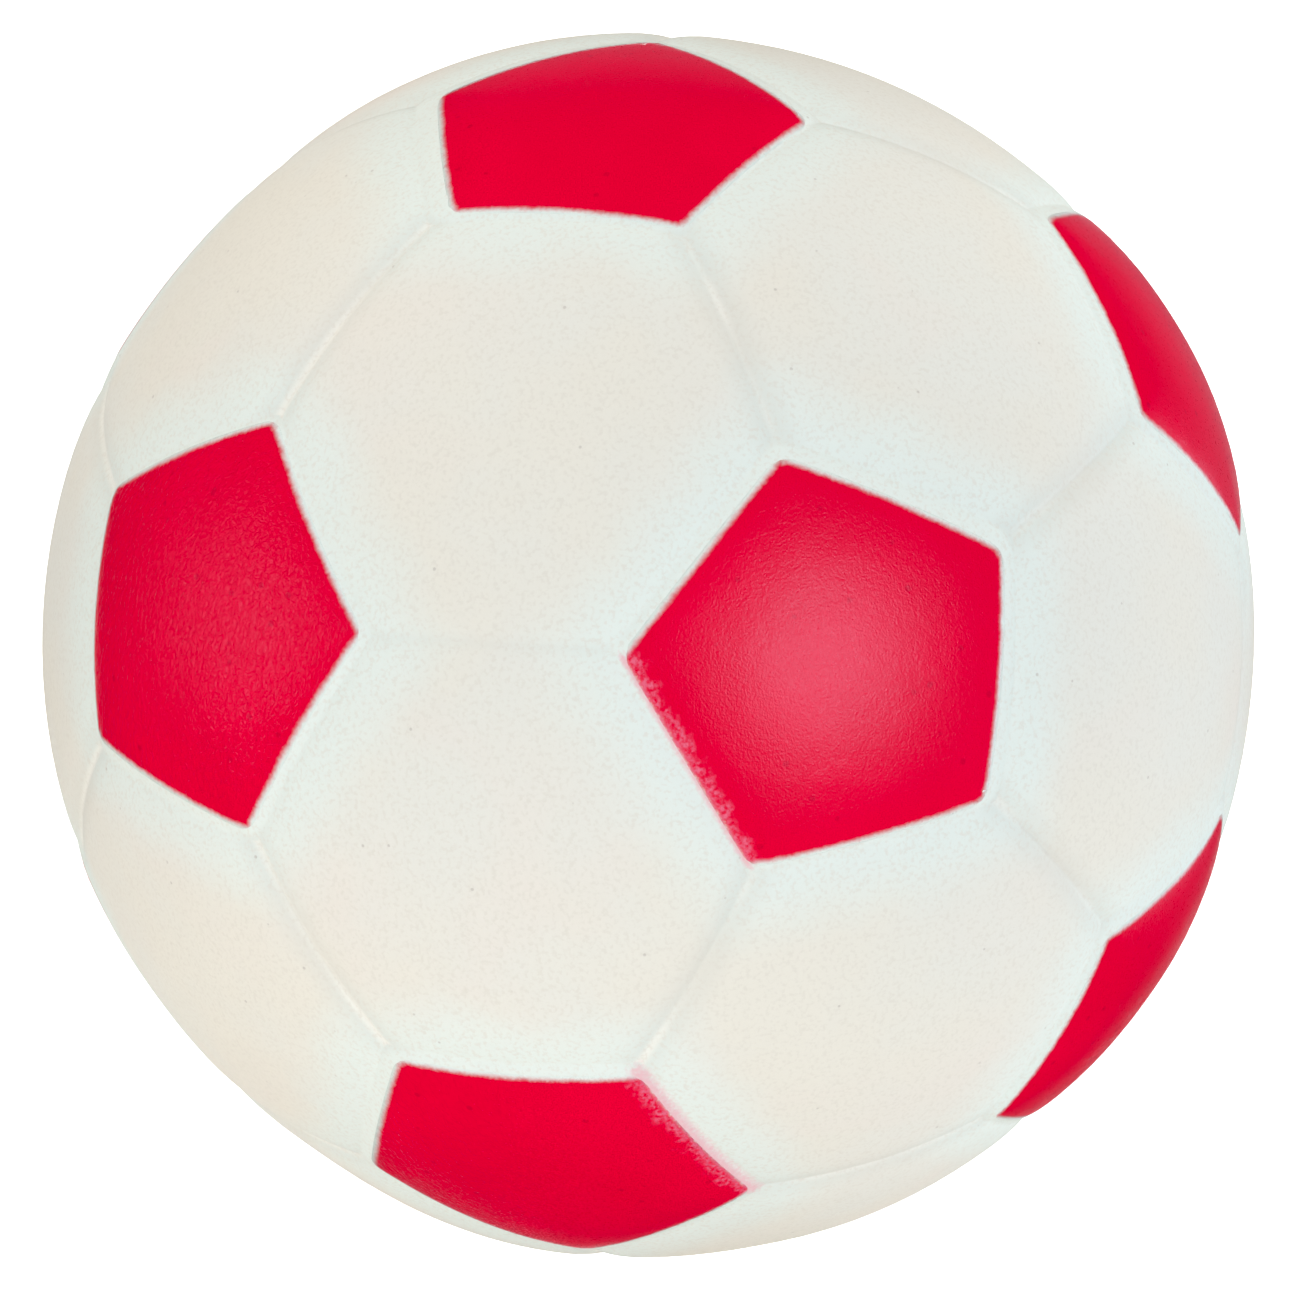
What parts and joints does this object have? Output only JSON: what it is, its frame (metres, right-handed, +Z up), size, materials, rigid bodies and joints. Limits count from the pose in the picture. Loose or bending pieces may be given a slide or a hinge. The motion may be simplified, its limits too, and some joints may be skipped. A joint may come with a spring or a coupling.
{
  "type": "dog ball",
  "caption": "Hollow rubber dog ball with a football relief of pentagons and hexagons, red painted pentagons and a reed squeaker in its underside, which is flat so that it can rest.",
  "frame": {"origin": "middle of the flat land around the squeaker, on the surface that the ball rests on", "axes": "+Z up through the middle of the ball and of the top pentagon, -Y towards the front pentagon of the upper ring"},
  "size_m": [0.0698, 0.07, 0.0695],
  "materials": {
    "white_rubber": "matte moulded rubber with a fine leathery grain",
    "red_paint": "thin sprayed flexible paint, matte, with a soft sheen",
    "white_plastic": "natural white moulded plastic",
    "reed_film": "thin hard plastic film"
  },
  "bodies": {
    "ball": {"ball_skin": "white_rubber", "paint_top": "red_paint", "paint_upper_1": "red_paint", "paint_upper_2": "red_paint", "paint_upper_3": "red_paint", "paint_upper_4": "red_paint", "paint_upper_5": "red_paint", "paint_lower_1": "red_paint", "paint_lower_2": "red_paint", "paint_lower_3": "red_paint", "paint_lower_4": "red_paint", "paint_lower_5": "red_paint", "paint_bottom": "red_paint", "squeaker_housing": "white_plastic", "reed_seat": "white_plastic", "reed_wedge": "white_plastic"},
    "reed": {"reed": "reed_film"}
  },
  "joints": [
    {"name": "reed_flex", "type": "hinge", "parent": "ball", "child": "reed", "pos_m": [0, 0, 0.0049], "axis": [1, 0, 0], "range_deg": [-5, 5], "stiffness_Nm_per_rad": 0.002}
  ]
}
